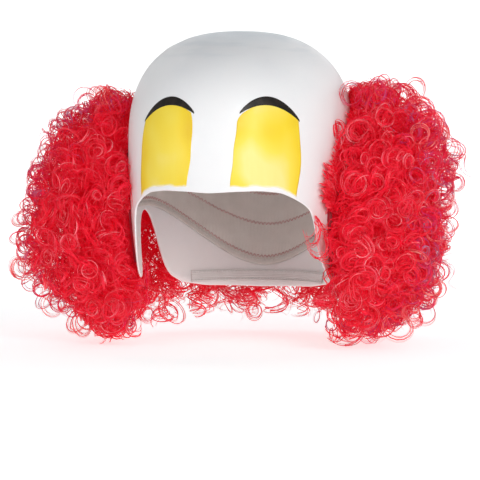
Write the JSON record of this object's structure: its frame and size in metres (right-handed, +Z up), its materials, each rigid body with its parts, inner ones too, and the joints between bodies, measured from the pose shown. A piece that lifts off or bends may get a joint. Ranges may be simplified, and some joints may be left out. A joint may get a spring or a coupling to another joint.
{
  "type": "costume wig",
  "caption": "Clown bald cap wig: a moulded white latex dome with yellow eye panels and black brows painted on the forehead, and curly red hair sewn round the sides and nape.",
  "frame": {"origin": "on the head's axis, level with the cap's brow rim", "axes": "+Z up through the crown, -Y the way the face looks, +X the wearer's left"},
  "size_m": [0.3129, 0.2563, 0.209],
  "materials": {
    "white_latex": "soft satin, moulded",
    "yellow_paint": "brushed latex paint, uneven",
    "black_paint": "flat latex paint",
    "weft_webbing": "machine-sewn webbing",
    "cotton_lining": "plain woven cotton",
    "nape_elastic": "ribbed elastic",
    "red_hair": "curled synthetic fibre with purple and blue fringe"
  },
  "bodies": {
    "cap": {"cap_shell": "white_latex", "eye_panel_left": "yellow_paint", "eye_panel_right": "yellow_paint", "brow_arc_left": "black_paint", "brow_arc_right": "black_paint", "edge_track_left": "weft_webbing", "edge_track_right": "weft_webbing", "lining_band": "cotton_lining", "nape_elastic": "nape_elastic", "weft_track_1": "weft_webbing", "weft_track_2": "weft_webbing", "weft_track_3": "weft_webbing", "weft_track_4": "weft_webbing", "weft_track_5": "weft_webbing"},
    "left_mass": {"hair_left_1": "red_hair", "hair_left_2": "red_hair", "hair_left_3": "red_hair", "hair_left_4": "red_hair", "hair_left_5": "red_hair"},
    "right_mass": {"hair_right_1": "red_hair", "hair_right_2": "red_hair", "hair_right_3": "red_hair", "hair_right_4": "red_hair", "hair_right_5": "red_hair"},
    "back_mass": {"hair_back_1": "red_hair", "hair_back_2": "red_hair", "hair_back_3": "red_hair", "hair_back_4": "red_hair"}
  },
  "joints": [
    {"name": "left_swing", "type": "hinge", "parent": "cap", "child": "left_mass", "pos_m": [0.072, 0, 0.075], "axis": [0, -1, 0], "range_deg": [0, 12], "stiffness_Nm_per_rad": 0.03},
    {"name": "right_swing", "type": "hinge", "parent": "cap", "child": "right_mass", "pos_m": [-0.072, 0, 0.075], "axis": [0, 1, 0], "range_deg": [0, 12], "stiffness_Nm_per_rad": 0.03},
    {"name": "back_swing", "type": "hinge", "parent": "cap", "child": "back_mass", "pos_m": [0, 0.096, 0.046], "axis": [1, 0, 0], "range_deg": [0, 10], "stiffness_Nm_per_rad": 0.05}
  ]
}
